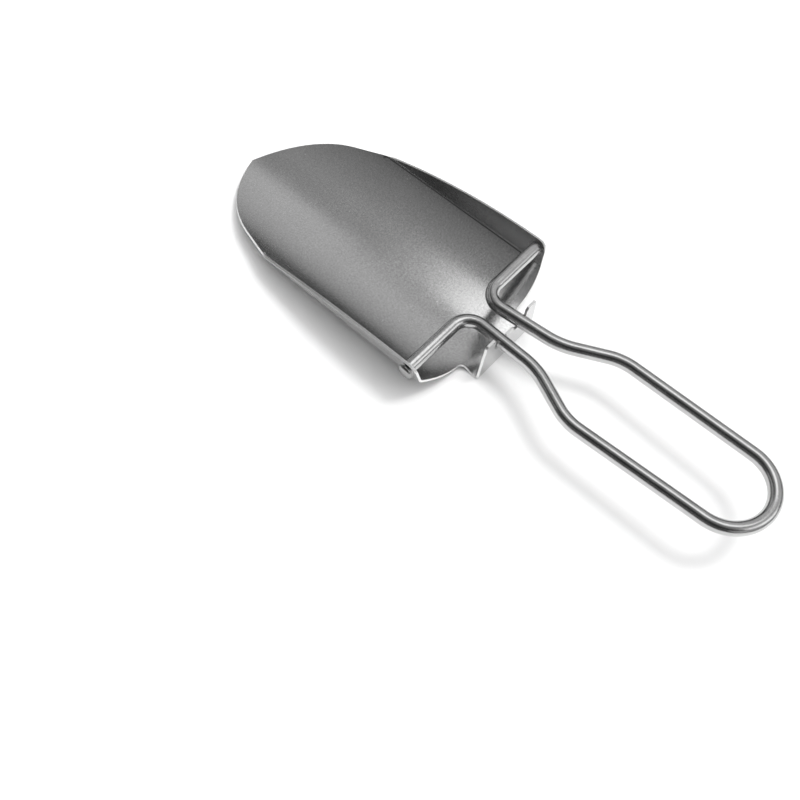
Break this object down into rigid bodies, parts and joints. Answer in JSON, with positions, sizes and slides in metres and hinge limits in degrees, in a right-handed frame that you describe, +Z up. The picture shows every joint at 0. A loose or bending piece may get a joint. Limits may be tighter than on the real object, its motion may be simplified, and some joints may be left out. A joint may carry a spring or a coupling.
{
  "type": "folding camp shovel",
  "caption": "Small folding stainless camp shovel: a pressed trough blade with low side walls and a bent wire handle that folds over it.",
  "frame": {"origin": "middle of the open shovel's bounding box, on the ground plane it lies on, under the middle line of the floor", "axes": "+Y runs along the blade from the grip to the tip, +X across it toward the blade's right side wall, +Z up and out of the scoop"},
  "size_m": [0.0764, 0.2366, 0.0229],
  "materials": {
    "blade_steel": "fine satin stainless sheet, clean, with bright cut edges",
    "wire_steel": "drawn and polished stainless wire with faint lengthwise lines"
  },
  "bodies": {
    "blade": {"blade": "blade_steel"},
    "wire_handle": {"wire_handle": "wire_steel"}
  },
  "joints": [
    {"name": "handle_fold", "type": "hinge", "parent": "blade", "child": "wire_handle", "pos_m": [0, 0.00283, 0.0145], "axis": [-1, 0, 0], "range_deg": [0, 181]}
  ]
}
